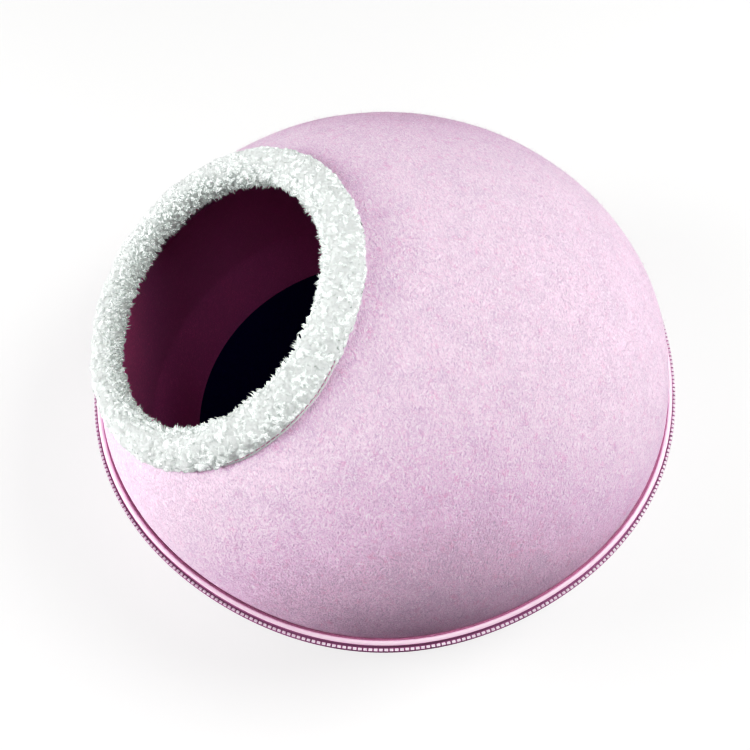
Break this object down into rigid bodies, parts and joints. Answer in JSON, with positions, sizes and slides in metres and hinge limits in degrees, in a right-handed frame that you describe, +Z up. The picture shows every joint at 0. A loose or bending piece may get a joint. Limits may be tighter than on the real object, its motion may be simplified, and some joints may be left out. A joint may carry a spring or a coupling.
{
  "type": "felt pet bed",
  "caption": "Round felt pet cave: a pale pink domed upper shell with a fleece-bound round entrance, zipped to a flat-based lower shell with a dark floor disc.",
  "frame": {"origin": "middle of the flat base, on the floor", "axes": "+Z up, -Y towards the side that the entrance leans to"},
  "size_m": [0.4172, 0.4144, 0.2443],
  "materials": {
    "pink_felt": "moulded needle felt, matt, pale pink outside and wine red on the inside of the bed",
    "navy_felt": "thin pressed felt, matt",
    "white_fleece": "curly pile fleece",
    "pink_tape": "woven zip tape with a slight sheen",
    "zip_teeth": "moulded plastic"
  },
  "bodies": {
    "root": {"upper_shell": "pink_felt", "lower_shell": "pink_felt", "floor_disc": "navy_felt", "entrance_trim": "white_fleece", "upper_zip_tape": "pink_tape", "lower_zip_tape": "pink_tape", "zip_chain": "zip_teeth"}
  },
  "joints": []
}
